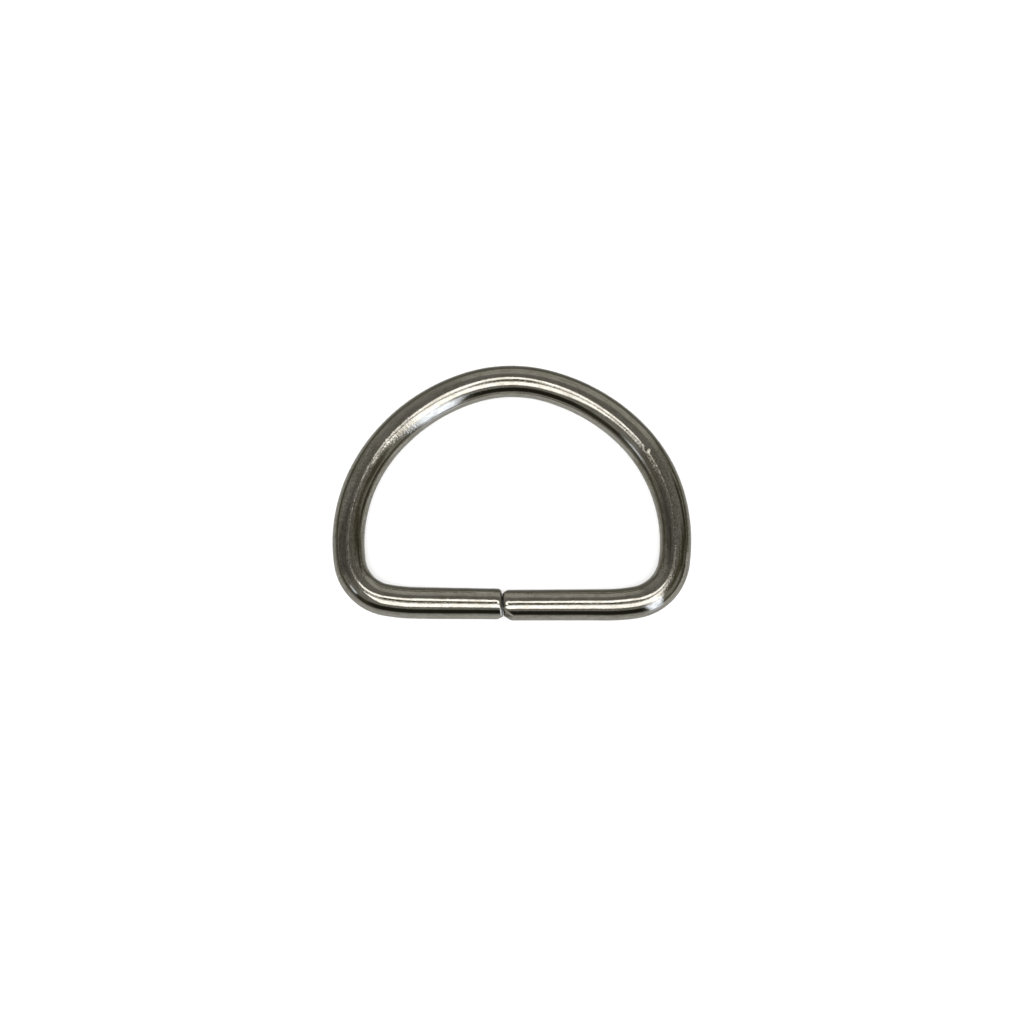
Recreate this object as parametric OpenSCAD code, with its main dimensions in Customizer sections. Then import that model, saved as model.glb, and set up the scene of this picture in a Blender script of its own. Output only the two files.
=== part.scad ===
// D ring bent from one round wire, lying flat, with its two cut ends meeting in the straight bar.
// Millimetres. X runs along the bar, Y points from the bar to the crown, and Z points up from the
// surface that the ring lies on. The origin is at the middle of the outline, on that surface.

/* [Wire] */
// Diameter of the wire
wire_d = 2.6; // [1.6:0.1:4]

/* [Opening] */
// Clear width inside the ring at its widest, which is the webbing size
opening_w = 25; // [18:0.5:45]
// Clear height inside the ring, from the left half of the bar to the crown
opening_h = 16.2; // [12:0.1:24]

/* [Arch] */
// Angle that the crown's arc takes on each side of the middle
crown_sweep = 15.3; // [10:0.1:25]
// Angle that each of the flatter shoulders takes
shoulder_sweep = 32.2; // [20:0.1:45]
// Shoulder radius over crown radius
shoulder_flatness = 1.35; // [1:0.01:1.6]
// How far each side leans inwards, past upright, where its corner bend starts
side_lean = 8; // [2:0.5:15]

/* [Corners] */
// Inner radius of the left corner bend, from which the right one follows
corner_inner_r = 2.4; // [1:0.1:4]
// Radius of the slack arc that eases each corner bend into the bar
easing_r = 16.5; // [8:0.5:40]
// Angle that each slack arc takes
easing_sweep = 9; // [2:0.5:15]

/* [Bar] */
// Slope of the left half of the bar, falling towards the joint
left_slope = 1; // [0:0.1:3]
// Slope of the right half of the bar, falling towards the joint
right_slope = 0.3; // [0:0.1:3]
// How far the right end of the wire lies outwards of the left end
end_step = 0.1; // [0:0.01:0.3]
// How far the joint lies to the left of the middle
joint_shift = 0.72; // [-3:0.01:3]
// Smallest gap between the two ends
joint_gap = 0.05; // [0.02:0.01:0.5]

/* [Left end] */
// Lean of the left end's cut, which opens the joint towards the opening
left_cut_lean = 7.5; // [0:0.5:15]
// Length of the bevel round the left end
left_bevel_length = 0.12; // [0.05:0.01:0.5]
// Depth of that bevel at its middle height
left_bevel_depth = 0.11; // [0.02:0.01:0.4]
// How much deeper it cuts on the outer side of the ring, and shallower on the inner side
left_bevel_offset = 0.07; // [0:0.01:0.3]

/* [Right end] */
// Lean of the right end's cut
right_cut_lean = 1; // [0:0.5:15]
// Length of the bevel round the right end
right_bevel_length = 0.45; // [0.05:0.01:0.8]
// Depth of that bevel at its middle height
right_bevel_depth = 0.27; // [0.02:0.01:0.4]
// How much deeper it cuts on the outer side of the ring, and shallower on the inner side
right_bevel_offset = 0.09; // [0:0.01:0.3]

/* [Hidden] */
profile_fn = 72;
bend_fn = 180;
nickel = [0.66, 0.63, 0.58];

// Every second stretch of the wire is slimmer by this, and runs into its neighbours by the lap, so that
// the stretches join without surfaces that coincide.
seam = 0.015;
lap = 0.05;

wire_r = wire_d / 2;
half_w = (opening_w + wire_d) / 2;
left_drop = opening_h + wire_d;
right_drop = left_drop + end_step;
outline_h = right_drop + wire_d;
corner_r = corner_inner_r + wire_r;

// A heading is the angle that the wire has turned by since the crown: 0 at the crown, 90 where a side
// is upright, and 180, less the slope, along the bar.
shoulder_end = crown_sweep + shoulder_sweep;
side_end = 90 + side_lean;

// Where a bend of unit radius between two headings leads to: [outwards, down].
function unit_bend(from, to) = [sin(to) - sin(from), cos(from) - cos(to)];

// What a step of [outwards, down] adds to the drop at the joint, once the sloping bar has carried it there.
function drop_of(step, slope) = step[1] + step[0] * tan(slope);

// The parts of the drop at the joint that a slack arc, and a corner bend of unit radius, take up.
function corner_end(slope) = 180 - slope - easing_sweep;
function easing_drop(slope) = easing_r * drop_of(unit_bend(corner_end(slope), 180 - slope), slope);
function corner_drop(slope) = drop_of(unit_bend(side_end, corner_end(slope)), slope);

// The crown and side radii solve two equations: the half width, and the drop from crown to joint.
arch_unit = unit_bend(0, crown_sweep) + shoulder_flatness * unit_bend(crown_sweep, shoulder_end);
side_unit = unit_bend(shoulder_end, side_end);
side_to_upright = unit_bend(shoulder_end, 90)[0];
arch_weight = drop_of(arch_unit, left_slope);
side_weight = drop_of(side_unit, left_slope);
left_arch_drop = left_drop + joint_shift * tan(left_slope) - corner_r * corner_drop(left_slope)
    - easing_drop(left_slope);
solver = arch_unit[0] * side_weight - arch_weight * side_to_upright;
crown_r = (half_w * side_weight - left_arch_drop * side_to_upright) / solver;
side_r = (left_arch_drop * arch_unit[0] - half_w * arch_weight) / solver;
shoulder_r = shoulder_flatness * crown_r;

// The right corner bend takes the radius that sets its end outwards of the left one.
right_arch_drop = crown_r * drop_of(arch_unit, right_slope) + side_r * drop_of(side_unit, right_slope);
right_corner_r = (right_drop - joint_shift * tan(right_slope) - right_arch_drop - easing_drop(right_slope))
    / corner_drop(right_slope);

// One side of the wire from the crown to the bar, as rows of [radius, heading at its start, and at its end].
function side_run(corner, slope) = [
    [crown_r, 0, crown_sweep],
    [shoulder_r, crown_sweep, shoulder_end],
    [side_r, shoulder_end, side_end],
    [corner, side_end, corner_end(slope)],
    [easing_r, corner_end(slope), 180 - slope],
];

// Where a row starts, as [outwards, down] from the top of the wire's centreline.
function start_of(run, row) = row == 0
    ? [0, 0]
    : start_of(run, row - 1) + run[row - 1][0] * unit_bend(run[row - 1][1], run[row - 1][2]);

// How far the outer edge of a leaning end face stands out past the wire's axis.
function end_reach(lean, depth, offset) = (wire_r - depth - offset) * sin(lean);

// One bend of the wire, with X outwards and Y down from the top of its centreline.
module bend(start, r, from, to, slim) {
    over = slim ? lap / r * 180 / PI : 0;
    translate([start[0] - r * sin(from), start[1] + r * cos(from), 0])
        rotate_extrude(angle = to - from + 2 * over, start = from - over - 90, $fn = bend_fn)
            translate([r, 0])
                circle(r = slim ? wire_r - seam : wire_r, $fn = profile_fn);
}

// What is cut away at an end of the wire: all that lies past the face, and the bevel round it.
// The end points along -X, with the outer side of the ring towards +Y.
module end_cut(lean, length, depth, offset) {
    waste = 2 * wire_d;
    face_r = wire_r - depth;
    rotate([0, 0, lean]) {
        translate([-waste, -waste / 2, -waste / 2])
            cube(waste);
        translate([0, -offset, 0])
            rotate([0, 90, 0])
                rotate_extrude($fn = profile_fn)
                    polygon([
                        [face_r - depth, -length],
                        [wire_d, length * (wire_d - face_r) / depth],
                        [wire_d, -length],
                    ]);
    }
}

// Half of the bar, from its slack arc to the joint, where the child is cut away.
module bar_half(run, slope, joint_x, drop) {
    from = start_of(run, len(run));
    length = (from[0] - joint_x) / cos(slope) + wire_d;
    difference() {
        translate([from[0], from[1], 0])
            rotate([0, 0, 180 - slope])
                rotate([0, 90, 0])
                    translate([0, 0, -lap])
                        cylinder(h = length + lap, r = wire_r - seam, $fn = profile_fn);
        translate([joint_x, drop, 0])
            children();
    }
}

// One side of the ring from the shoulder to the joint, where the child is cut away.
module side(corner, slope, joint_x, drop) {
    run = side_run(corner, slope);
    for (row = [1 : len(run) - 1])
        bend(start_of(run, row), run[row][0], run[row][1], run[row][2], row % 2 == 1);
    bar_half(run, slope, joint_x, drop)
        children();
}

module crown() {
    start = [-crown_r * sin(crown_sweep), crown_r * (1 - cos(crown_sweep))];
    bend(start, crown_r, -crown_sweep, crown_sweep, false);
}

module right_side() {
    side(right_corner_r, right_slope, -joint_shift, right_drop)
        end_cut(right_cut_lean, right_bevel_length, right_bevel_depth, right_bevel_offset);
}

module left_side() {
    reach = end_reach(left_cut_lean, left_bevel_depth, left_bevel_offset)
        + end_reach(right_cut_lean, right_bevel_depth, right_bevel_offset);
    mirror([1, 0, 0])
        side(corner_r, left_slope, joint_shift + joint_gap + reach, left_drop)
            end_cut(left_cut_lean, left_bevel_length, left_bevel_depth, left_bevel_offset);
}

module wire_ring() {
    color(nickel)
        translate([0, outline_h / 2 - wire_r, wire_r])
            mirror([0, 1, 0]) {
                crown();
                left_side();
                right_side();
            }
}

wire_ring();
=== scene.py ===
from math import cos, pi, radians, sin, tan

import bpy
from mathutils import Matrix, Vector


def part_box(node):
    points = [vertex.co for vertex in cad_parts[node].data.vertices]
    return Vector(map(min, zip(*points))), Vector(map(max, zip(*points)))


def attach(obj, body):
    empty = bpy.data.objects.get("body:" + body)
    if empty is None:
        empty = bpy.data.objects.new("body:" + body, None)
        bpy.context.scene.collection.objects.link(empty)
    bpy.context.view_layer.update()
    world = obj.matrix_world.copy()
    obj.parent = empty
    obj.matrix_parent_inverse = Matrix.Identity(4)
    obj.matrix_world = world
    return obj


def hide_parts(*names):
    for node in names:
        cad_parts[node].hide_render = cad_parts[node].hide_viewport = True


bl_info = {
    "name": "Bent Wire D Ring",
    "version": (1, 0, 0),
    "blender": (4, 5, 0),
    "location": "View3D > Sidebar > D Ring",
    "description": "Bends a D ring from round wire, plates it with nickel and lays it in a small studio",
    "category": "Add Mesh",
}

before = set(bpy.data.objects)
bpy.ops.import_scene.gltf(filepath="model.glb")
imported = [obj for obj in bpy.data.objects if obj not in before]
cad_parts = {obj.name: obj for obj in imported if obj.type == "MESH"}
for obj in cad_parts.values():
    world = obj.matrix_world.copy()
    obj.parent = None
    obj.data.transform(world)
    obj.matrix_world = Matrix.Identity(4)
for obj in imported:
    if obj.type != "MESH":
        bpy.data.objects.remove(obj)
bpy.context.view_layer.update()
CAD_NODE = "wire_ring"
CAD_LOW, CAD_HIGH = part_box(CAD_NODE)

MM = 0.001
FLOOR_CLEARANCE = 0.02 * MM


# Properties

def size(name, description, default_mm):
    """A length that the user may change, given here in millimetres."""
    return bpy.props.FloatProperty(
        name=name, description=description, default=default_mm * MM,
        subtype="DISTANCE", unit="LENGTH", precision=6,
    )


def angle(name, description, default_degrees):
    """An angle that the user may change, given here in degrees."""
    return bpy.props.FloatProperty(
        name=name, description=description, default=radians(default_degrees), subtype="ANGLE",
    )


def amount(name, description, default, top=1.0):
    """A plain number that the user may change."""
    return bpy.props.FloatProperty(
        name=name, description=description, default=default, min=0.0, soft_max=top, subtype="FACTOR",
    )


def colour(name, description, default):
    """A linear colour that the user may change."""
    return bpy.props.FloatVectorProperty(
        name=name, description=description, default=default, size=3, min=0.0, max=1.0, subtype="COLOR",
    )


class RingShape(bpy.types.PropertyGroup):
    """Sizes of the bent wire, as its maker sets them"""

    wire_diameter: size("Wire", "Diameter of the wire", 2.6)
    opening_width: size("Clear width", "Width inside the ring, which is the webbing size", 25)
    opening_height: size("Clear height", "Height inside the ring, from the bar to the crown", 16.2)
    crown_sweep: angle("Crown", "Turn of the crown's arc on each side of the middle", 15.3)
    shoulder_sweep: angle("Shoulder", "Turn of each of the flatter shoulders", 32.2)
    shoulder_flatness: amount("Flatness", "Shoulder radius over crown radius", 1.35, 2.0)
    side_lean: angle("Side lean", "How far each side leans in where its corner bend starts", 8)
    corner_inner_radius: size("Corner", "Inner radius of the left corner bend", 2.4)
    easing_radius: size("Slack arc", "Radius of the arc that eases a corner into the bar", 16.5)
    easing_sweep: angle("Slack turn", "Turn of each slack arc", 9)
    left_slope: angle("Left slope", "Fall of the bar's left half towards the joint", 1)
    right_slope: angle("Right slope", "Fall of the bar's right half towards the joint", 0.3)
    end_step: size("Step", "How far the right end lies outwards of the left end", 0.1)
    joint_shift: size("Joint shift", "How far the joint lies to the left of the middle", 0.72)
    joint_gap: size("Joint gap", "Gap between the two ends, if their edges were sharp", 0.05)
    girth_variation: amount("Girth variation", "How unevenly the bends have drawn the wire", 0.005, 0.05)
    spread: amount("Spread", "How much the wire's sides spread, where 1 is as bending left them", 1.0, 2.0)
    waviness: size("Waviness", "Height of the slow waves that bending leaves in the surface", 0.006)
    nick_depth: size("Nick depth", "Depth of the small nick in the right shoulder", 0.05)
    seed: bpy.props.IntProperty(name="Seed", description="Start of the random waves", default=3)


class WireEnd(bpy.types.PropertyGroup):
    """How one end of the wire is cut, and how its edge is worn"""

    lean: angle("Lean", "Lean of the cut, which opens the joint towards the opening", 7.5)
    bulge: size("Bulge", "How far the middle of the cut face stands out", 0.1)
    roll_length: size("Roll length", "How far from the end the surface starts to fall away", 0.42)
    roll_depth: size("Roll depth", "How far it falls away by the end", 0.018)
    edge_length: size("Edge length", "How far the worn edge reaches along the wire", 0.15)
    edge_depth: size("Edge depth", "How deep the worn edge goes at the wire's top", 0.008)
    side_depth: size("Side depth", "How much deeper it goes on the outer side", 0.08)
    facet_length: size("Facet length", "How far the flat on the outer side reaches along the wire", 0.46)
    facet_slope: amount("Facet slope", "How steeply the flats fall towards the end", 0.5)
    inner_facet_length: size("Inner facet length", "The same on the inner side, below zero for none", -0.4)
    corner_length: size("Corner length", "How far the worn corner beside the outer flat reaches", 0)
    corner_slope: amount("Corner slope", "How steeply that corner falls towards the end", 0.25)


class NickelFinish(bpy.types.PropertyGroup):
    """Look of the nickel plate"""

    nickel: colour("Nickel", "Colour of the clean plate", (0.765, 0.734, 0.672))
    dulled: colour("Dulled nickel", "Colour where the plate has dulled", (0.58, 0.55, 0.48))
    stained: colour("Stained nickel", "Colour of the brown streaks and specks", (0.24, 0.2, 0.135))
    cut: colour("Cut face", "Colour of the thin plate on the cut faces", (0.3, 0.27, 0.23))
    roughness: amount("Roughness", "Roughness of the clean plate", 0.04)
    dulled_roughness: amount("Dulled roughness", "Roughness where the plate has dulled", 0.085)
    cut_roughness: amount("Cut roughness", "Roughness that the cut adds on the end faces", 0.35)
    peel: size("Peel", "Height of the pebbling in the plate", 0.0095)
    grain: size("Grain", "Height of the plate's fine grain", 0.002)
    die_lines: size("Die lines", "Height of the lines that drawing the wire has left", 0.02)
    scratches: size("Scratches", "Depth of the fine marks from tumbling", 0.0012)


class Studio(bpy.types.PropertyGroup):
    """Floor, camera and surroundings"""

    floor_colour: colour("Floor", "Colour of the plain floor", (0.93, 0.93, 0.93))
    daylight: amount("Daylight", "Brightness that lights the floor", 1.9, 3.0)
    camera_distance: size("Camera distance", "Height of the camera above the ring", 430)
    frame_width: size("Frame width", "Width of the picture at the ring", 86.49)
    frame_shift_x: size("Frame shift X", "Middle of the picture from the middle of the ring", -0.03)
    frame_shift_y: size("Frame shift Y", "Middle of the picture from the middle of the ring", -1.59)


# Node trees

# A Mix node has a set of sockets for each kind of value, and these are the ones for colours.
MIX_FIRST, MIX_SECOND, MIX_RESULT = 6, 7, 2
# Where a new stop of a colour ramp waits until it is placed.
NEW_STOP = 0.5


class Tree:
    """Adds nodes to one node tree. A value is a number, a tuple, a socket or None for what the node has."""

    def __init__(self, tree):
        self.tree = tree

    def feed(self, socket, value):
        """Links a socket to another node's output, or sets its value."""
        if isinstance(value, bpy.types.NodeSocket):
            self.tree.links.new(value, socket)
        elif value is not None:
            socket.default_value = value

    def add(self, kind, values=(), settings=(), named=()):
        """Adds a node, with its inputs in order, its settings, and any inputs that go by name."""
        node = self.tree.nodes.new(kind)
        for key, value in dict(settings).items():
            setattr(node, key, value)
        for socket, value in zip(node.inputs, values):
            self.feed(socket, value)
        for key, value in dict(named).items():
            self.feed(node.inputs[key], value)
        return node

    def math(self, operation, *values):
        """One sum on plain numbers."""
        return self.add("ShaderNodeMath", values, {"operation": operation}).outputs[0]

    def total(self, first, *others):
        """All the values added up."""
        for other in others:
            first = self.math("ADD", first, other)
        return first

    def product(self, first, *others):
        """All the values multiplied."""
        for other in others:
            first = self.math("MULTIPLY", first, other)
        return first

    def vector(self, operation, *values):
        """One sum on vectors."""
        node = self.add("ShaderNodeVectorMath", values, {"operation": operation})
        return node.outputs["Value" if operation in ("LENGTH", "DOT_PRODUCT") else "Vector"]

    def scaled(self, vector, factor):
        """A vector made longer or shorter."""
        node = self.add("ShaderNodeVectorMath", (vector,), {"operation": "SCALE"}, {"Scale": factor})
        return node.outputs["Vector"]

    def join(self, x, y, z):
        """A vector from its parts."""
        return self.add("ShaderNodeCombineXYZ", (x, y, z)).outputs[0]

    def split(self, vector):
        """The parts of a vector."""
        return self.add("ShaderNodeSeparateXYZ", (vector,)).outputs

    def share(self, value):
        """A value held between 0 and 1."""
        return self.add("ShaderNodeClamp", (value, 0.0, 1.0)).outputs[0]

    def ramp(self, value, low, high, start=0.0, end=1.0, even=False):
        """start below low, end above high, and a soft or even slope between them."""
        settings = {"interpolation_type": "LINEAR" if even else "SMOOTHSTEP"}
        return self.add("ShaderNodeMapRange", (value, low, high, start, end), settings).outputs[0]

    def blend(self, share, first, second):
        """Mixes two colours."""
        node = self.add("ShaderNodeMix", (share,), {"data_type": "RGBA"})
        self.feed(node.inputs[MIX_FIRST], first)
        self.feed(node.inputs[MIX_SECOND], second)
        return node.outputs[MIX_RESULT]

    def noise(self, place, scale, detail=2.0, roughness=0.5):
        """Smooth noise from 0 to 1."""
        named = {"Vector": place, "Scale": scale, "Detail": detail, "Roughness": roughness}
        return self.add("ShaderNodeTexNoise", named=named).outputs[0]

    def wave(self, place, scale):
        """Smooth noise on both sides of 0."""
        return self.math("SUBTRACT", self.noise(place, scale, 1.0), 0.5)

    def stops(self, value, rows, interpolation="LINEAR"):
        """A colour that runs through rows of place and colour, with places from 0 to 1."""
        node = self.add("ShaderNodeValToRGB", (value,))
        node.color_ramp.interpolation = interpolation
        elements = node.color_ramp.elements
        while len(elements) < len(rows):
            elements.new(NEW_STOP)
        for element, (place, rgb) in zip(elements, rows):
            element.position = place
            element.color = opaque(rgb)
        return node.outputs["Color"]


def opaque(rgb):
    """A colour with its alpha, as node sockets take it."""
    return (rgb[0], rgb[1], rgb[2], 1.0)


def new_group(name, kind, inputs, outputs):
    """An empty node group, its tree helper, what it is given and what it has to make."""
    group = bpy.data.node_groups.new(name, kind)
    for in_out, rows in (("INPUT", inputs), ("OUTPUT", outputs)):
        for label, socket_type in rows:
            group.interface.new_socket(label, in_out=in_out, socket_type=socket_type)
    given = group.nodes.new("NodeGroupInput").outputs
    made = group.nodes.new("NodeGroupOutput").inputs
    return group, Tree(group), given, made


FLOAT, VECTOR, GEOMETRY = "NodeSocketFloat", "NodeSocketVector", "NodeSocketGeometry"
MATERIAL = "NodeSocketMaterial"

# Added to a stretch's half turn, so that a straight one doesn't divide nothing by nothing.
TINY_ANGLE = 1e-6


def stretch_group():
    """One straight or evenly bent stretch of a flat path, which starts where the last stretch ended."""
    group, t, given, made = new_group(
        "Wire Stretch", "GeometryNodeTree",
        [("Distance", FLOAT), ("Start", FLOAT), ("Heading", FLOAT), ("Place", VECTOR), ("Bearing", FLOAT),
         ("Length", FLOAT), ("Turn", FLOAT)],
        [("End", FLOAT), ("Heading", FLOAT), ("Place", VECTOR), ("Bearing", FLOAT)],
    )
    past_start = t.math("MAXIMUM", t.math("SUBTRACT", given["Distance"], given["Start"]), 0.0)
    gone = t.math("MINIMUM", past_start, given["Length"])
    turned = t.product(given["Turn"], t.math("DIVIDE", gone, given["Length"]))
    half = t.math("ADD", t.product(turned, 0.5), TINY_ANGLE)
    chord = t.product(gone, t.math("DIVIDE", t.math("SINE", half), half))
    direction = t.total(given["Heading"], half)
    step_x = t.product(chord, t.math("COSINE", direction))
    step_y = t.product(chord, t.math("SINE", direction))
    t.feed(made["End"], t.total(given["Start"], given["Length"]))
    t.feed(made["Heading"], t.total(given["Heading"], given["Turn"]))
    t.feed(made["Place"], t.vector("ADD", given["Place"], t.join(step_x, step_y, 0.0)))
    t.feed(made["Bearing"], t.total(given["Bearing"], turned))
    return group


END_INPUTS = (
    "Lean", "Bulge", "Roll Length", "Roll Depth", "Edge Length", "Edge Depth", "Side Depth",
    "Facet Length", "Facet Slope", "Inner Facet Length", "Corner Length", "Corner Slope",
)
# How sharply the roll and the worn edge curve down to the cut: 1 is a straight slope.
ROLL_CURVE, EDGE_CURVE, CORNER_CURVE = 2.0, 1.1, 1.0
# The flats' edges are rounded over this length.
FACET_ROUNDING = 0.14 * MM
# A flat is worked out only where it faces out by this share, and up to this height above the round surface.
LEAST_FACING = 0.05
FLAT_HEIGHT = 0.5 * MM
# How far out, as a share of the radius, the worn corner starts and is full, and its share at the very side.
CORNER_START, CORNER_FULL, CORNER_AT_SIDE = 0.1, 0.7, 0.65
# Added to the worn corner's length, which is a divisor and may be 0.
LEAST_LENGTH = 0.01 * MM
# The lean of the cut has faded out this many radii from the end.
LEAN_FADE = 2.5
# The joint is wider on its inner side, so the cut faces bulge more there and less on the outer side, down
# to a least share. A higher power makes the bulge flatter in the middle.
BULGE_LEAN, BULGE_LEAST, BULGE_POWER = 1.0, 0.35, 8.0


def end_group():
    """How far the worn end lowers the surface, and how far the leaning, bulging cut slides it."""
    group, t, given, made = new_group(
        "Wire End", "GeometryNodeTree",
        [(label, FLOAT) for label in ("From End", "Around", "Reach", "Wire Radius", *END_INPUTS)],
        [("Lowered", FLOAT), ("Slide", FLOAT)],
    )
    radius, from_end, around = given["Wire Radius"], given["From End"], given["Around"]
    out = t.math("COSINE", around)

    def worn(length, depth, curve):
        """How deep wear of this length and depth goes, from nothing to its full depth at the end."""
        share = t.share(t.math("DIVIDE", from_end, length))
        return t.product(depth, t.math("POWER", t.math("SUBTRACT", 1.0, share), curve))

    def flat(facing, length):
        """How deep a flat that dips towards the end lies below the round surface."""
        dip = t.product(given["Facet Slope"], t.math("SUBTRACT", length, from_end))
        level = t.math("DIVIDE", t.math("SUBTRACT", radius, dip), t.math("MAXIMUM", facing, LEAST_FACING))
        return t.math("MAXIMUM", t.math("SUBTRACT", radius, level), -FLAT_HEIGHT)

    roll = worn(given["Roll Length"], given["Roll Depth"], ROLL_CURVE)
    outer_side = t.math("MAXIMUM", out, 0.0)
    edge_depth = t.total(given["Edge Depth"], t.product(given["Side Depth"], outer_side))
    edge = worn(given["Edge Length"], edge_depth, EDGE_CURVE)
    corner_shape = t.product(
        t.ramp(out, CORNER_START, CORNER_FULL, even=True),
        t.ramp(out, CORNER_FULL, 1.0, 1.0, CORNER_AT_SIDE),
    )
    corner_length = t.total(t.product(given["Corner Length"], corner_shape), LEAST_LENGTH)
    corner = worn(corner_length, t.product(corner_length, given["Corner Slope"]), CORNER_CURVE)
    outer = flat(out, given["Facet Length"])
    inner = flat(t.product(out, -1.0), given["Inner Facet Length"])
    cut = t.math("SMOOTH_MAX", t.math("MAXIMUM", outer, inner), t.total(edge, corner), FACET_ROUNDING)
    t.feed(made["Lowered"], t.total(roll, cut))

    offset = t.product(given["Reach"], out)
    fade = t.ramp(from_end, 0.0, t.product(radius, LEAN_FADE), 1.0, 0.0)
    lean = t.product(t.math("TANGENT", given["Lean"]), radius, offset, fade)
    dome = t.math("SUBTRACT", 1.0, t.math("POWER", given["Reach"], BULGE_POWER))
    leaning = t.math("MAXIMUM", t.math("SUBTRACT", 1.0, t.product(offset, BULGE_LEAN)), BULGE_LEAST)
    bulge = t.product(given["Bulge"], dome, leaning)
    near = t.math("LESS_THAN", from_end, radius)
    t.feed(made["Slide"], t.total(lean, t.product(bulge, near)))
    return group


# The wire's stretches from its left end to its right one, with the inputs that give each its length or its
# radius, and its turn.
STRETCHES = (
    ("Left Bar", "Left Bar Length", None),
    ("Left Slack", "Slack Radius", "Slack Turn"),
    ("Left Corner", "Left Corner Radius", "Left Corner Turn"),
    ("Left Side", "Side Radius", "Side Turn"),
    ("Left Shoulder", "Shoulder Radius", "Shoulder Turn"),
    ("Crown", "Crown Radius", "Crown Turn"),
    ("Right Shoulder", "Shoulder Radius", "Shoulder Turn"),
    ("Right Side", "Side Radius", "Side Turn"),
    ("Right Corner", "Right Corner Radius", "Right Corner Turn"),
    ("Right Slack", "Slack Radius", "Slack Turn"),
    ("Right Bar", "Right Bar Length", None),
)
SURFACE_INPUTS = ("Girth Variation", "Spread", "Waviness", "Nick Depth", "Seed")
WIRE_INPUTS = (
    "Wire Diameter", "Wire Length", "Start X", "Start Y", "Start Heading",
    "Left Bar Length", "Right Bar Length", "Slack Radius", "Slack Turn",
    "Left Corner Radius", "Left Corner Turn", "Right Corner Radius", "Right Corner Turn",
    "Side Radius", "Side Turn", "Shoulder Radius", "Shoulder Turn", "Crown Radius", "Crown Turn",
    *(f"{side} {label}" for side in ("Left", "Right") for label in END_INPUTS),
    *SURFACE_INPUTS,
)

# How far bending has pushed the wire's sides out, by distance from its left end, all in millimetres.
SPREAD = (
    # distance, outer side, inner side
    (0, 0, 0), (5, 0.06, 0), (11, 0.09, 0.01), (17, 0.09, 0.02), (23, 0.02, 0.09), (28, 0.06, 0.09),
    (33.5, 0.07, 0.04), (38.5, 0.02, 0.03), (43, 0.04, 0.06), (49, 0.1, 0.05), (54, 0.08, 0.07),
    (59.5, 0.01, 0.04), (64, 0.09, 0.035), (69, 0.035, 0.01), (76, 0, 0),
)
# The length and the push that stand for 1 in the node that holds those rows.
SPREAD_LENGTH, SPREAD_UNIT = 80 * MM, 0.1 * MM

# Waves in the surface: their scales per metre, the factors on their place that draw them out along the wire,
# and the share of the ripples.
GIRTH_SCALE, WAVE_SCALE, RIPPLE_SCALE = 90.0, 650.0, 1700.0
WAVE_STRETCH = (1.0, 1.0, 0.45)
RIPPLE_SHARE = 0.35

# Where the small nick lies, by distance from the wire's left end and angle up from the outer side, and how
# far it reaches.
NICK_DISTANCE, NICK_AROUND, NICK_REACH = 50.6 * MM, radians(84), 0.26 * MM

# The mesh: faces around the wire, rings of them along it, and rings within each cut face.
FACES_AROUND = 120
RINGS = 720
RINGS_IN_FACE = 8
# The share of the rings that goes to each end, and the length of wire that they cover.
END_RINGS = 0.08
END_ZONE = 1.1 * MM

# The cut's look is full within the first of these shares of the radius, and starts at the second. Where the
# surface is worn down by these depths, it has a share of the same look.
FACE_FULL, FACE_START = 0.97, 0.995
WEAR_START, WEAR_FULL, WEAR_SHARE = 0.05 * MM, 0.2 * MM, 0.6


def distance_along(t, height, wire_length):
    """Distance along the wire from the cylinder's height, with rings close together near its ends."""
    share = t.share(t.total(height, 0.5))
    middle = t.math("SUBTRACT", wire_length, 2 * END_ZONE)
    return t.total(
        t.ramp(share, 0.0, END_RINGS, 0.0, END_ZONE, even=True),
        t.ramp(share, END_RINGS, 1 - END_RINGS, 0.0, middle, even=True),
        t.ramp(share, 1 - END_RINGS, 1.0, 0.0, END_ZONE, even=True),
    )


def follow_path(t, given, distance, radius):
    """Place and bearing of the wire's axis at a distance along it, through all its stretches in turn."""
    stretch = stretch_group()
    state = {
        "Start": 0.0,
        "Heading": given["Start Heading"],
        "Place": t.join(given["Start X"], given["Start Y"], radius),
        "Bearing": given["Start Heading"],
    }
    for label, measure, turn in STRETCHES:
        named = dict(state, Distance=distance)
        if turn:
            named["Turn"] = t.product(given[turn], -1.0)
            named["Length"] = t.product(given[measure], given[turn])
        else:
            named["Turn"] = 0.0
            named["Length"] = given[measure]
        node = t.add("GeometryNodeGroup", settings={"node_tree": stretch, "label": label}, named=named)
        state = {key: node.outputs[key] for key in ("Heading", "Place", "Bearing")}
        state["Start"] = node.outputs["End"]
    return state["Place"], state["Bearing"]


def wear_ends(t, given, distance, around, reach, radius):
    """How far both worn ends lower the surface, and how far their cuts slide it along the wire."""
    end = end_group()
    from_right = t.math("SUBTRACT", given["Wire Length"], distance)
    both = []
    for side, from_end in (("Left", distance), ("Right", from_right)):
        named = {label: given[f"{side} {label}"] for label in END_INPUTS}
        named.update({"From End": from_end, "Around": around, "Reach": reach, "Wire Radius": radius})
        settings = {"node_tree": end, "label": f"{side} End"}
        both.append(t.add("GeometryNodeGroup", settings=settings, named=named).outputs)
    left, right = both
    lowered = t.total(left["Lowered"], right["Lowered"])
    slide = t.math("SUBTRACT", right["Slide"], left["Slide"])
    return lowered, slide


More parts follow.
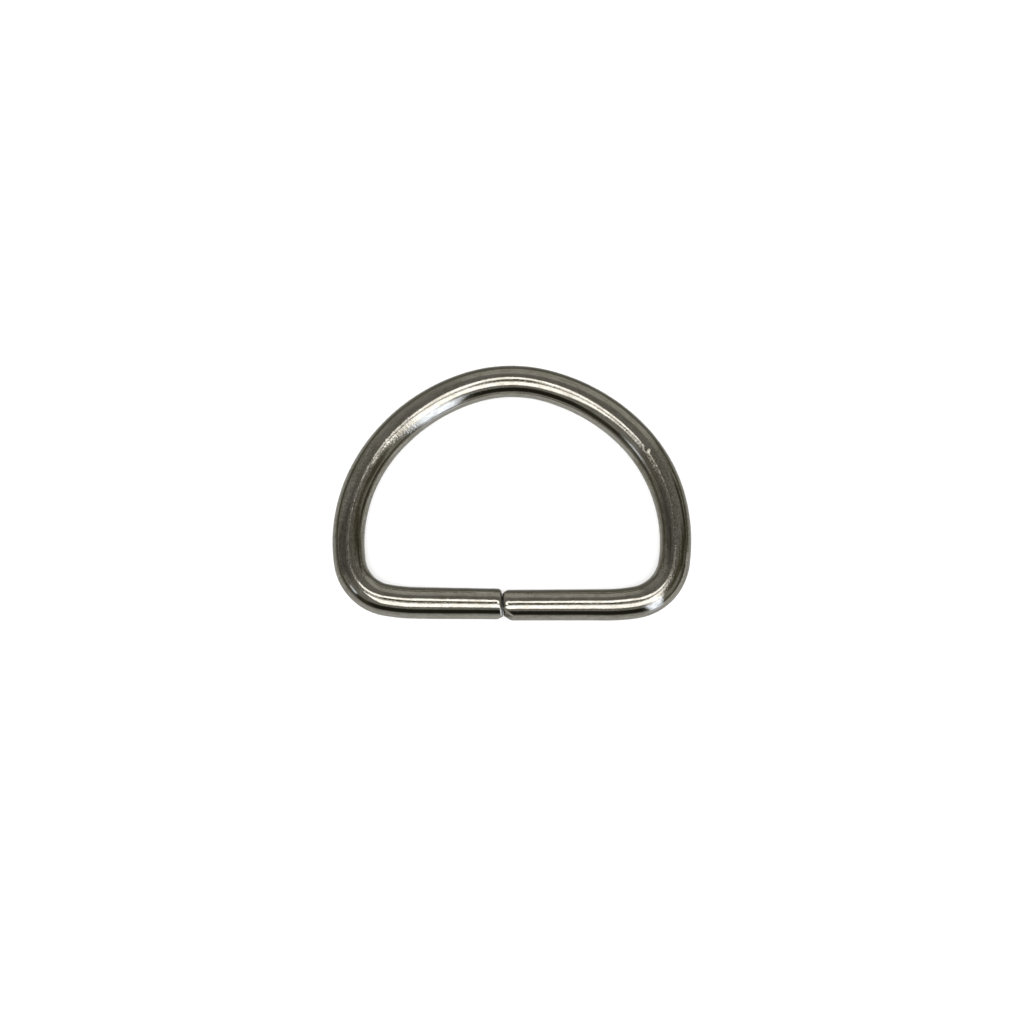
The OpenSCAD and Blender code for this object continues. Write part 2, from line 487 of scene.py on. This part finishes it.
def uneven_radius(t, given, straight, distance, radius):
    """The wire's radius with its uneven girth, its slow waves and its nick."""
    girth = t.product(t.wave(t.join(0.0, given["Seed"], distance), GIRTH_SCALE), given["Girth Variation"])
    moved = t.vector("ADD", straight, t.join(0.0, given["Seed"], 0.0))
    waves = t.total(
        t.wave(t.vector("MULTIPLY", moved, WAVE_STRETCH), WAVE_SCALE),
        t.product(t.wave(moved, RIPPLE_SCALE), RIPPLE_SHARE),
    )
    nick_out, nick_up = t.product(radius, cos(NICK_AROUND)), t.product(radius, sin(NICK_AROUND))
    nick_place = t.join(nick_out, nick_up, NICK_DISTANCE)
    from_nick = t.vector("LENGTH", t.vector("SUBTRACT", straight, nick_place))
    nick = t.product(given["Nick Depth"], t.ramp(from_nick, 0.0, NICK_REACH, -1.0, 0.0))
    return t.total(t.product(radius, t.total(1.0, girth)), t.product(given["Waviness"], waves), nick)


def spread_sides(t, given, distance):
    """How far bending has pushed out the outer and the inner side at a distance along the wire."""
    rows = [
        (place * MM / SPREAD_LENGTH, (outer * MM / SPREAD_UNIT, inner * MM / SPREAD_UNIT, 0.0))
        for place, outer, inner in SPREAD
    ]
    shares = t.stops(t.math("DIVIDE", distance, SPREAD_LENGTH), rows, "CARDINAL")
    spread = t.split(t.scaled(shares, t.product(given["Spread"], SPREAD_UNIT)))
    return spread["X"], spread["Y"]


def stored(t, geometry, name, kind, value):
    """The geometry with a value kept on its points, under a name that the material reads."""
    settings = {"data_type": kind, "domain": "POINT"}
    named = {"Geometry": geometry, "Name": name, "Value": value}
    return t.add("GeometryNodeStoreNamedAttribute", settings=settings, named=named).outputs[0]


def wire_tree():
    """Bends a cylinder of many rings along the path, and cuts and wears its two ends."""
    tree, t, given, made = new_group(
        "Bent Wire", "GeometryNodeTree",
        [("Geometry", GEOMETRY)] + [(label, FLOAT) for label in WIRE_INPUTS] + [("Material", MATERIAL)],
        [("Geometry", GEOMETRY)],
    )
    cylinder = t.add(
        "GeometryNodeMeshCylinder", settings={"fill_type": "TRIANGLE_FAN"},
        named={"Vertices": FACES_AROUND, "Side Segments": RINGS, "Fill Segments": RINGS_IN_FACE,
               "Radius": 1.0, "Depth": 1.0},
    )
    x, y, height = t.split(t.add("GeometryNodeInputPosition").outputs[0])
    around = t.math("ARCTAN2", y, x)
    out, up = t.math("COSINE", around), t.math("SINE", around)
    # 1 on the wire's surface, and less within a cut face.
    reach = t.math("MINIMUM", t.math("SQRT", t.total(t.product(x, x), t.product(y, y))), 1.0)
    radius = t.product(given["Wire Diameter"], 0.5)
    distance = distance_along(t, height, given["Wire Length"])
    axis, bearing = follow_path(t, given, distance, radius)
    lowered, slide = wear_ends(t, given, distance, around, reach, radius)

    # The straightened wire, which the waves in its surface follow.
    straight = t.join(t.product(radius, out), t.product(radius, up), distance)
    surface = uneven_radius(t, given, straight, distance, radius)
    from_axis = t.product(reach, t.math("SUBTRACT", surface, lowered))
    outer, inner = spread_sides(t, given, distance)
    wider = t.product(t.total(outer, inner), reach, out, 0.5)
    shifted = t.product(t.math("SUBTRACT", outer, inner), 0.5)
    outward = t.total(t.product(from_axis, out), wider, shifted)

    cos_bearing, sin_bearing = t.math("COSINE", bearing), t.math("SINE", bearing)
    along = t.join(cos_bearing, sin_bearing, 0.0)
    outwards = t.join(t.product(sin_bearing, -1.0), cos_bearing, 0.0)
    place = t.vector("ADD", axis, t.scaled(outwards, outward))
    place = t.vector("ADD", place, t.join(0.0, 0.0, t.product(from_axis, up)))
    place = t.vector("ADD", place, t.scaled(along, slide))

    # The pattern's place shrinks with the reach, so that it runs on over the cut faces.
    pattern = t.join(t.product(radius, reach, out), t.product(radius, reach, up), distance)
    on_face = t.ramp(reach, FACE_FULL, FACE_START, 1.0, 0.0)
    on_wear = t.ramp(lowered, WEAR_START, WEAR_FULL, 0.0, WEAR_SHARE)
    mesh = stored(t, cylinder.outputs["Mesh"], "straight_wire", "FLOAT_VECTOR", pattern)
    mesh = stored(t, mesh, "cut_face", "FLOAT", t.math("MAXIMUM", on_face, on_wear))
    bent = t.add("GeometryNodeSetPosition", named={"Geometry": mesh, "Position": place})
    smooth = t.add("GeometryNodeSetShadeSmooth", named={"Geometry": bent.outputs[0], "Shade Smooth": True})
    real = t.add("GeometryNodeRealizeInstances", named={"Geometry": smooth.outputs[0]})
    plated = {"Geometry": real.outputs[0], "Material": given["Material"]}
    t.feed(made["Geometry"], t.add("GeometryNodeSetMaterial", named=plated).outputs[0])
    return tree


def bend_step(start, finish):
    """Where a bend of unit radius between two headings leads to: outwards and down."""
    return sin(finish) - sin(start), cos(start) - cos(finish)


def drop_of(step, slope):
    """What a step adds to the drop at the joint, once the sloping bar has carried it there."""
    return step[1] + step[0] * tan(slope)


# The ends' worn edges leave room, so the ends lie this much closer than sharp ones would.
WORN_ROOM = 0.03 * MM


def solve_path(ring, left_end, right_end):
    """The radii and lengths that give the clear width and height, by the inputs' names."""
    wire_radius = ring.wire_diameter / 2
    half_width = (ring.opening_width + ring.wire_diameter) / 2
    left_drop = ring.opening_height + ring.wire_diameter
    right_drop = left_drop + ring.end_step
    shoulder_end = ring.crown_sweep + ring.shoulder_sweep
    side_end = pi / 2 + ring.side_lean
    left_corner = ring.corner_inner_radius + wire_radius

    def corner_end(slope):
        """Heading at which a corner bend hands over to its slack arc."""
        return pi - slope - ring.easing_sweep

    def easing_drop(slope):
        """The part of the drop at the joint that a slack arc takes up."""
        return ring.easing_radius * drop_of(bend_step(corner_end(slope), pi - slope), slope)

    def corner_drop(slope):
        """The part that a corner bend of unit radius takes up."""
        return drop_of(bend_step(side_end, corner_end(slope)), slope)

    # Two equations give the crown and side radii: the half width, and the drop from crown to joint.
    crown_step, shoulder_step = bend_step(0, ring.crown_sweep), bend_step(ring.crown_sweep, shoulder_end)
    arch = [a + ring.shoulder_flatness * b for a, b in zip(crown_step, shoulder_step)]
    side = bend_step(shoulder_end, side_end)
    side_to_upright = bend_step(shoulder_end, pi / 2)[0]
    arch_weight, side_weight = drop_of(arch, ring.left_slope), drop_of(side, ring.left_slope)
    arch_drop = (left_drop + ring.joint_shift * tan(ring.left_slope)
                 - left_corner * corner_drop(ring.left_slope) - easing_drop(ring.left_slope))
    divisor = arch[0] * side_weight - arch_weight * side_to_upright
    crown = (half_width * side_weight - arch_drop * side_to_upright) / divisor
    side_radius = (arch_drop * arch[0] - half_width * arch_weight) / divisor

    # The right corner bend takes the radius that sets its end outwards of the left one.
    arch_drop = crown * drop_of(arch, ring.right_slope) + side_radius * drop_of(side, ring.right_slope)
    right_corner = (right_drop - ring.joint_shift * tan(ring.right_slope) - arch_drop
                    - easing_drop(ring.right_slope)) / corner_drop(ring.right_slope)

    def bar_length(corner, slope, joint_x):
        """Length of a half of the bar, from its slack arc to the joint."""
        corner_step = bend_step(side_end, corner_end(slope))
        easing_step = bend_step(corner_end(slope), pi - slope)
        reach = (crown * arch[0] + side_radius * side[0] + corner * corner_step[0]
                 + ring.easing_radius * easing_step[0])
        return (reach - joint_x) / cos(slope)

    # The outer edges of the two leaning faces nearly touch.
    lean_reach = sum(wire_radius * tan(end.lean) for end in (left_end, right_end)) - WORN_ROOM
    left_x = ring.joint_shift + ring.joint_gap + lean_reach
    start_drop = left_drop - (left_x - ring.joint_shift) * tan(ring.left_slope)
    outline_height = right_drop + ring.wire_diameter
    found = {
        "Wire Diameter": ring.wire_diameter,
        "Start X": -left_x,
        "Start Y": outline_height / 2 - wire_radius - start_drop,
        "Start Heading": pi - ring.left_slope,
        "Left Bar Length": bar_length(left_corner, ring.left_slope, left_x),
        "Right Bar Length": bar_length(right_corner, ring.right_slope, -ring.joint_shift),
        "Slack Radius": ring.easing_radius,
        "Slack Turn": ring.easing_sweep,
        "Left Corner Radius": left_corner,
        "Left Corner Turn": corner_end(ring.left_slope) - side_end,
        "Right Corner Radius": right_corner,
        "Right Corner Turn": corner_end(ring.right_slope) - side_end,
        "Side Radius": side_radius,
        "Side Turn": side_end - shoulder_end,
        "Shoulder Radius": crown * ring.shoulder_flatness,
        "Shoulder Turn": ring.shoulder_sweep,
        "Crown Radius": crown,
        "Crown Turn": 2 * ring.crown_sweep,
    }
    found["Wire Length"] = sum(
        found[measure] * (found[turn] if turn else 1.0) for _, measure, turn in STRETCHES
    )
    return found


# Finish

# Stretches of the wire, by distance from its left end: the sides, where the plate is duller with fine drawn
# lines, and the parts that are pebbled most.
DULL_STRETCHES = ((11.5 * MM, 25.5 * MM), (49.5 * MM, 63 * MM))
PEBBLED_STRETCHES = ((22.5 * MM, 29.5 * MM), (47 * MM, 55 * MM), (58 * MM, 64.5 * MM))
STRETCH_FADE = 2 * MM

# The plate's patterns, each a noise on the straightened wire. A small factor draws a pattern out that way.
PATTERNS = {
    # name: factors outwards, upwards and along the wire, scale per metre, detail, roughness
    "drawn lines": ((1.0, 1.0, 0.025), 3600.0, 4.0, 0.7),
    "dull patches": ((1.0, 1.0, 0.5), 420.0, 3.0, 0.6),
    "mottle": ((1.0, 1.0, 0.4), 2600.0, 3.0, 0.65),
    "specks": ((1.0, 1.0, 0.7), 8000.0, 2.0, 0.7),
    "pebbled patches": ((1.0, 1.0, 1.0), 300.0, 1.0, 0.5),
    "pebbles": ((1.0, 1.0, 1.0), 6200.0, 2.0, 0.6),
    "grain": ((1.0, 1.0, 0.6), 11000.0, 2.0, 0.6),
    "tumbling marks": ((1.0, 0.25, 0.6), 14000.0, 3.0, 0.7),
}
# Where in its noise a pattern starts, and where it is full.
PATCH_LEVELS, MOTTLE_LEVELS, SPECK_LEVELS = (0.42, 0.72), (0.38, 0.7), (0.45, 0.62)
STAIN_LEVELS, MARK_LEVELS, PEBBLED_LEVELS = (0.44, 0.66), (0.62, 0.74), (0.35, 0.65)
# How much of the dulling comes from the patches, and how much from the mottle.
PATCH_SHARE, MOTTLE_SHARE = 0.45, 0.75
# How much of a pattern shows outside its own stretches or patches, and within them.
SPECKS_SHOWN, STAIN_SHOWN, LINES_SHOWN = (0.12, 0.5), (0.12, 0.9), (0.12, 1.0)
PEBBLES_SHOWN, PEBBLES_IN_PATCHES = (0.06, 1.0), (0.4, 1.0)
# Stains and drawn lines are strongest on the ring's inner side: where they start to fade, where they have
# faded, both outwards from the wire's axis, and the share that is left there.
INNER_FADE_START, INNER_FADE_END, OUTER_SHARE = -0.6 * MM, 0.5 * MM, 0.25


def nickel_material(finish):
    """Bright nickel over drawn wire: pebbled, with die lines, tumbling marks and duller patches."""
    material = bpy.data.materials.new("bright_nickel_plate")
    material.use_nodes = True
    t = Tree(material.node_tree)
    shader = material.node_tree.nodes["Principled BSDF"]
    straight = t.add("ShaderNodeAttribute", settings={"attribute_name": "straight_wire"}).outputs["Vector"]
    face = t.add("ShaderNodeAttribute", settings={"attribute_name": "cut_face"}).outputs["Fac"]
    parts = t.split(straight)
    outwards, along = parts["X"], parts["Z"]

    def pattern(name):
        """One of the plate's patterns, from 0 to 1."""
        factors, scale, detail, roughness = PATTERNS[name]
        return t.noise(t.vector("MULTIPLY", straight, factors), scale, detail, roughness)

    def within(stretches):
        """1 in the middle of the given stretches of the wire, and 0 outside them."""
        shares = []
        for start, stop in stretches:
            starts = t.ramp(along, start, start + STRETCH_FADE)
            stops = t.ramp(along, stop - STRETCH_FADE, stop, 1.0, 0.0)
            shares.append(t.product(starts, stops))
        return t.total(*shares)

    def shown(share, amounts):
        """The first amount where the share is 0, and the second where it is 1."""
        return t.ramp(share, 0.0, 1.0, *amounts)

    dull_sides = within(DULL_STRETCHES)
    inner_side = t.ramp(outwards, INNER_FADE_START, INNER_FADE_END, 1.0, OUTER_SHARE)
    lines = pattern("drawn lines")
    patches = t.ramp(pattern("dull patches"), *PATCH_LEVELS)
    mottle = t.ramp(pattern("mottle"), *MOTTLE_LEVELS)
    dulled = t.total(t.product(patches, PATCH_SHARE), t.product(mottle, MOTTLE_SHARE))
    dulled = t.math("MINIMUM", dulled, 1.0)
    specks = t.product(t.ramp(pattern("specks"), *SPECK_LEVELS), shown(dull_sides, SPECKS_SHOWN))
    stain = t.product(t.ramp(lines, *STAIN_LEVELS), inner_side, shown(dull_sides, STAIN_SHOWN))
    plated = t.blend(dulled, opaque(finish.nickel), opaque(finish.dulled))
    plated = t.blend(t.math("MAXIMUM", stain, specks), plated, opaque(finish.stained))
    t.feed(shader.inputs["Base Color"], t.blend(face, plated, opaque(finish.cut)))
    gloss = shown(dulled, (finish.roughness, finish.dulled_roughness))
    t.feed(shader.inputs["Roughness"], t.total(gloss, t.product(face, finish.cut_roughness)))
    shader.inputs["Metallic"].default_value = 1.0

    pebbled = shown(within(PEBBLED_STRETCHES), PEBBLES_SHOWN)
    pebbled_patches = t.ramp(pattern("pebbled patches"), *PEBBLED_LEVELS, *PEBBLES_IN_PATCHES)
    bumps = (
        (t.product(pattern("pebbles"), pebbled, pebbled_patches), finish.peel),
        (pattern("grain"), finish.grain),
        (t.product(lines, shown(dull_sides, LINES_SHOWN), inner_side), finish.die_lines),
        (t.ramp(pattern("tumbling marks"), *MARK_LEVELS), -finish.scratches),
    )
    normal = None
    for height, distance in bumps:
        named = {"Strength": 1.0, "Distance": distance, "Height": height, "Normal": normal}
        normal = t.add("ShaderNodeBump", named=named).outputs[0]
    t.feed(shader.inputs["Normal"], normal)
    return material


# Studio

# A panel is seen only in directions less than nearly a quarter turn from its middle.
LEAST_AHEAD = 0.01


def panel_group():
    """A soft-edged panel of the surroundings: 1 inside it, 0 outside, by direction from the ring."""
    group, t, given, made = new_group(
        "Panel", "ShaderNodeTree",
        [("Direction", VECTOR), ("Azimuth", FLOAT), ("Zenith", FLOAT), ("Half Length", FLOAT),
         ("Half Width", FLOAT), ("Near Taper", FLOAT), ("Far Taper", FLOAT), ("Softness", FLOAT)],
        [("Share", FLOAT)],
    )
    facing = given["Direction"]
    for axis, label in (("Z_AXIS", "Azimuth"), ("Y_AXIS", "Zenith")):
        named = {"Vector": facing, "Angle": t.product(given[label], -1.0)}
        facing = t.add("ShaderNodeVectorRotate", settings={"rotation_type": axis}, named=named).outputs[0]
    x, y, z = t.split(facing)
    ahead = t.math("MAXIMUM", z, LEAST_AHEAD)
    down, across = t.math("DIVIDE", x, ahead), t.math("ABSOLUTE", t.math("DIVIDE", y, ahead))
    from_near = t.math("MAXIMUM", t.total(down, given["Half Length"]), 0.0)
    from_far = t.math("MAXIMUM", t.math("SUBTRACT", given["Half Length"], down), 0.0)
    tapered = t.math(
        "MINIMUM", t.product(given["Near Taper"], from_near), t.product(given["Far Taper"], from_far),
    )
    half_width = t.math("MINIMUM", given["Half Width"], tapered)

    def inside(value, edge):
        """1 well below the edge and 0 well above it."""
        low = t.math("SUBTRACT", edge, given["Softness"])
        return t.ramp(value, low, t.total(edge, given["Softness"]), 1.0, 0.0)

    share = t.product(
        inside(t.math("ABSOLUTE", down), given["Half Length"]),
        inside(across, half_width),
        t.math("GREATER_THAN", z, LEAST_AHEAD),
    )
    t.feed(made["Share"], share)
    return group


# A taper so quick that the panel is as wide at its end as anywhere.
OPEN_WIDE = 100.0
NEUTRAL, WARM, COOL = (1.0, 0.99, 0.895), (1.0, 0.995, 0.975), (0.92, 1.0, 1.15)
BROWN, OLIVE, SILVER = (1.0, 0.93, 0.62), (1.0, 0.965, 0.62), (1.0, 1.01, 0.96)

# Panels of the surroundings, each laid over those before it. Azimuth and zenith are in degrees: azimuth 0
# is +X and 90 is +Y, and zenith 0 is straight up. Half sizes are tangents of half angles. The tapers are how
# fast a panel widens from its near end, which is the higher one, and from its far end.
PANELS = (
    # name, azimuth, zenith, half length, half width, near taper, far taper, softness, brightness, tint
    ("pale wall north", 72, 80, 0.45, 0.72, OPEN_WIDE, OPEN_WIDE, 0.16, 0.3, NEUTRAL),
    ("pale wall south east", 325, 101, 0.2, 0.6, OPEN_WIDE, OPEN_WIDE, 0.08, 0.4, SILVER),
    ("window sill", 299, 100, 0.2, 0.12, OPEN_WIDE, OPEN_WIDE, 0.08, 0.65, COOL),
    ("east wall high", 355, 54, 0.22, 0.14, OPEN_WIDE, OPEN_WIDE, 0.09, 0.045, BROWN),
    ("east wall low", 10, 73, 0.17, 0.22, OPEN_WIDE, OPEN_WIDE, 0.09, 0.035, BROWN),
    ("east wall south", 345, 78, 0.14, 0.16, OPEN_WIDE, OPEN_WIDE, 0.09, 0.06, BROWN),
    ("west wall", 186, 43, 0.54, 0.21, OPEN_WIDE, OPEN_WIDE, 0.12, 0.085, NEUTRAL),
    ("north softbox", 92, 15.8, 0.284, 0.16, 1.5, 0.85, 0.01, 1.6, WARM),
    ("camera body", 90, 9.2, 0.155, 0.046, 0.6, 0.8, 0.008, 0.07, OLIVE),
    ("south softbox", 275, 13.9, 0.222, 0.19, 1.27, OPEN_WIDE, 0.01, 1.6, WARM),
    ("south east fill", 304, 30, 0.27, 0.068, 0.3, OPEN_WIDE, 0.07, 1.9, WARM),
    ("flag's dim side", 235, 68, 0.28, 0.17, OPEN_WIDE, OPEN_WIDE, 0.07, 0.035, OLIVE),
    ("black flag", 266, 61, 0.31, 0.39, OPEN_WIDE, OPEN_WIDE, 0.09, 0.016, OLIVE),
    ("window", 300.5, 64, 0.5, 0.125, OPEN_WIDE, OPEN_WIDE, 0.05, 1.5, COOL),
    ("window frame", 298, 40, 0.022, 0.12, OPEN_WIDE, OPEN_WIDE, 0.015, 0.25, COOL),
    ("south west glint", 219, 56.5, 0.1, 0.078, OPEN_WIDE, OPEN_WIDE, 0.028, 0.75, COOL),
    ("south east gap", 338, 37.6, 0.225, 0.19, OPEN_WIDE, OPEN_WIDE, 0.065, 0.07, OLIVE),
    ("overhead gap", 270, 0.75, 0.018, 0.1, OPEN_WIDE, OPEN_WIDE, 0.006, 0.08, NEUTRAL),
    ("table edge south", 332, 79.6, 0.065, 0.59, OPEN_WIDE, OPEN_WIDE, 0.05, 0.05, OLIVE),
    ("table north", 86, 128, 0.29, 0.98, OPEN_WIDE, OPEN_WIDE, 0.14, 0.128, NEUTRAL),
)

# The plain room between the panels, from overhead to underfoot. The table's far edge is its darkest line,
# and lies lower to the north, so the room's own overhead leans that way.
ROOM = (
    # degrees from overhead, brightness, tint
    (0, 0.15, NEUTRAL), (20, 0.135, NEUTRAL), (35, 0.152, NEUTRAL), (50, 0.18, NEUTRAL),
    (65, 0.186, NEUTRAL), (78, 0.186, NEUTRAL), (86, 0.094, OLIVE), (92, 0.045, OLIVE),
    (98, 0.13, NEUTRAL), (112, 0.295, SILVER), (130, 0.365, SILVER), (170, 0.365, SILVER),
)
ROOM_LEAN, ROOM_LEAN_AZIMUTH = radians(22.3), radians(83.6)
UNDERFOOT = 180


def tinted(brightness, tint):
    """A tint at a brightness."""
    return [brightness * part for part in tint]


def surroundings(studio):
    """What the ring mirrors, and the even daylight that lights the floor."""
    world = bpy.data.worlds.new("studio_surroundings")
    bpy.context.scene.world = world
    world.use_nodes = True
    # The mirrored surroundings differ from the daylight, so rays find them by themselves.
    world.cycles.sampling_method = "NONE"
    world.node_tree.nodes.clear()
    t = Tree(world.node_tree)
    direction = t.add("ShaderNodeTexCoord").outputs["Generated"]
    overhead = (
        sin(ROOM_LEAN) * cos(ROOM_LEAN_AZIMUTH),
        sin(ROOM_LEAN) * sin(ROOM_LEAN_AZIMUTH),
        cos(ROOM_LEAN),
    )
    from_overhead = t.math("ARCCOSINE", t.vector("DOT_PRODUCT", t.vector("NORMALIZE", direction), overhead))
    rows = [(degrees_down / UNDERFOOT, tinted(brightness, tint)) for degrees_down, brightness, tint in ROOM]
    shown = t.stops(t.product(from_overhead, 1 / pi), rows)
    group = panel_group()
    for label, azimuth, zenith, half_length, half_width, near, far, softness, brightness, tint in PANELS:
        named = {
            "Direction": direction, "Azimuth": radians(azimuth), "Zenith": radians(zenith),
            "Half Length": half_length, "Half Width": half_width, "Near Taper": near, "Far Taper": far,
            "Softness": softness,
        }
        panel = t.add("ShaderNodeGroup", settings={"node_tree": group, "label": label}, named=named)
        shown = t.blend(panel.outputs["Share"], shown, opaque(tinted(brightness, tint)))
    mirrored = t.add("ShaderNodeBackground", named={"Color": shown, "Strength": 1.0})
    white = opaque((1.0, 1.0, 1.0))
    daylight = t.add("ShaderNodeBackground", named={"Color": white, "Strength": studio.daylight})
    glossy = t.add("ShaderNodeLightPath").outputs["Is Glossy Ray"]
    both = t.add("ShaderNodeMixShader", (glossy, daylight.outputs[0], mirrored.outputs[0]))
    out = t.add("ShaderNodeOutputWorld")
    t.feed(out.inputs["Surface"], both.outputs[0])


FLOOR_HALF = 3.0
FLOOR_ROUGHNESS = 0.9
FLOOR_GLOW = 0.05


def floor_material(rgb):
    """A matt colour with a faint glow of its own, which keeps the floor's shadow light."""
    material = bpy.data.materials.new("plain_floor")
    material.use_nodes = True
    shader = material.node_tree.nodes["Principled BSDF"]
    shader.inputs["Base Color"].default_value = opaque(rgb)
    shader.inputs["Roughness"].default_value = FLOOR_ROUGHNESS
    shader.inputs["Specular IOR Level"].default_value = 0.0
    shader.inputs["Emission Color"].default_value = opaque((1.0, 1.0, 1.0))
    shader.inputs["Emission Strength"].default_value = FLOOR_GLOW
    return material


def add_floor(studio):
    """The plain pale floor, just under the ring."""
    mesh = bpy.data.meshes.new("floor")
    height = CAD_LOW.z - FLOOR_CLEARANCE
    corners = [(x * FLOOR_HALF, y * FLOOR_HALF, height) for x, y in ((-1, -1), (1, -1), (1, 1), (-1, 1))]
    mesh.from_pydata(corners, [], [(0, 1, 2, 3)])
    floor = bpy.data.objects.new("floor", mesh)
    bpy.context.scene.collection.objects.link(floor)
    mesh.materials.append(floor_material(studio.floor_colour))
    # The ring in the photo mirrors a grey room below its edges and no white floor.
    floor.visible_glossy = False


SENSOR = 36.0
CLIP_NEAR, CLIP_FAR = 0.01, 10.0


def add_camera(studio):
    """The camera straight above the ring, with the photo's framing."""
    data = bpy.data.cameras.new("camera")
    data.sensor_width = SENSOR
    data.lens = SENSOR * studio.camera_distance / studio.frame_width
    data.clip_start, data.clip_end = CLIP_NEAR, CLIP_FAR
    camera = bpy.data.objects.new("camera", data)
    bpy.context.scene.collection.objects.link(camera)
    ring_middle = (CAD_LOW + CAD_HIGH) / 2
    camera.location = (
        ring_middle.x + studio.frame_shift_x,
        ring_middle.y + studio.frame_shift_y,
        ring_middle.z + studio.camera_distance,
    )
    bpy.context.scene.camera = camera


# Operators

def property_name(label):
    """The property that holds an input of the wire's tree."""
    return label.lower().replace(" ", "_")


class DRING_OT_bend_wire(bpy.types.Operator):
    """Bends the wire into the ring and plates it"""

    bl_idname = "d_ring.bend_wire"
    bl_label = "Bend and Plate Wire"

    def execute(self, context):
        scene = context.scene
        host = bpy.data.objects.new("wire_host", bpy.data.meshes.new("wire_host"))
        scene.collection.objects.link(host)
        modifier = host.modifiers.new("Bent Wire", "NODES")
        tree = wire_tree()
        modifier.node_group = tree
        shape, left, right = scene.d_ring_shape, scene.d_ring_left_end, scene.d_ring_right_end
        values = solve_path(shape, left, right)
        for side, end in (("Left", left), ("Right", right)):
            for label in END_INPUTS:
                values[f"{side} {label}"] = getattr(end, property_name(label))
        for label in SURFACE_INPUTS:
            values[label] = float(getattr(shape, property_name(label)))
        values["Material"] = nickel_material(scene.d_ring_finish)
        for socket in tree.interface.items_tree:
            if socket.in_out == "INPUT" and socket.name in values:
                modifier[socket.identifier] = values[socket.name]
        depsgraph = context.evaluated_depsgraph_get()
        depsgraph.update()
        mesh = bpy.data.meshes.new_from_object(host.evaluated_get(depsgraph), depsgraph=depsgraph)
        bpy.data.objects.remove(host)
        if not mesh.polygons:
            raise RuntimeError("the wire's node tree made no faces")
        mesh.name = "plated_wire"
        ring = bpy.data.objects.new("plated_wire", mesh)
        scene.collection.objects.link(ring)
        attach(ring, "root")
        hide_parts(CAD_NODE)
        return {"FINISHED"}


class DRING_OT_studio(bpy.types.Operator):
    """Lays the floor, sets the surroundings and places the camera above the ring"""

    bl_idname = "d_ring.studio"
    bl_label = "Set Up Studio"

    def execute(self, context):
        studio = context.scene.d_ring_studio
        surroundings(studio)
        add_floor(studio)
        add_camera(studio)
        context.scene.view_settings.view_transform = "Standard"
        context.scene.view_settings.look = "None"
        return {"FINISHED"}


class DRING_PT_panel(bpy.types.Panel):
    """Sizes, finish and operators of the D ring"""

    bl_idname = "DRING_PT_panel"
    bl_label = "D Ring"
    bl_space_type = "VIEW_3D"
    bl_region_type = "UI"
    bl_category = "D Ring"

    def draw(self, context):
        for attribute in SCENE_GROUPS:
            box = self.layout.box()
            group = getattr(context.scene, attribute)
            for key in group.__class__.__annotations__:
                box.prop(group, key)
        for operator in (DRING_OT_bend_wire, DRING_OT_studio):
            self.layout.operator(operator.bl_idname)


CLASSES = (RingShape, WireEnd, NickelFinish, Studio, DRING_OT_bend_wire, DRING_OT_studio, DRING_PT_panel)
SCENE_GROUPS = {
    "d_ring_shape": RingShape,
    "d_ring_left_end": WireEnd,
    "d_ring_right_end": WireEnd,
    "d_ring_finish": NickelFinish,
    "d_ring_studio": Studio,
}

# The properties' defaults describe the left end. The right one is cut squarer and worn more, with a flat on
# each side and a worn corner.
RIGHT_END = {
    "lean": radians(1),
    "bulge": 0.09 * MM,
    "edge_length": 0.15 * MM,
    "edge_depth": 0.02 * MM,
    "side_depth": 0.02 * MM,
    "facet_length": 0.62 * MM,
    "facet_slope": 0.62,
    "inner_facet_length": 0.28 * MM,
    "corner_length": 0.82 * MM,
    "corner_slope": 0.5,
}


def register():
    """Registers the classes and gives the scene its properties."""
    for item in CLASSES:
        bpy.utils.register_class(item)
    for attribute, group in SCENE_GROUPS.items():
        setattr(bpy.types.Scene, attribute, bpy.props.PointerProperty(type=group))


def unregister():
    """Takes the properties and the classes away again."""
    for attribute in SCENE_GROUPS:
        delattr(bpy.types.Scene, attribute)
    for item in reversed(CLASSES):
        bpy.utils.unregister_class(item)


def main():
    """Makes the ring and its studio."""
    register()
    for key, value in RIGHT_END.items():
        setattr(bpy.context.scene.d_ring_right_end, key, value)
    bpy.ops.d_ring.bend_wire()
    bpy.ops.d_ring.studio()


if __name__ == "__main__":
    main()
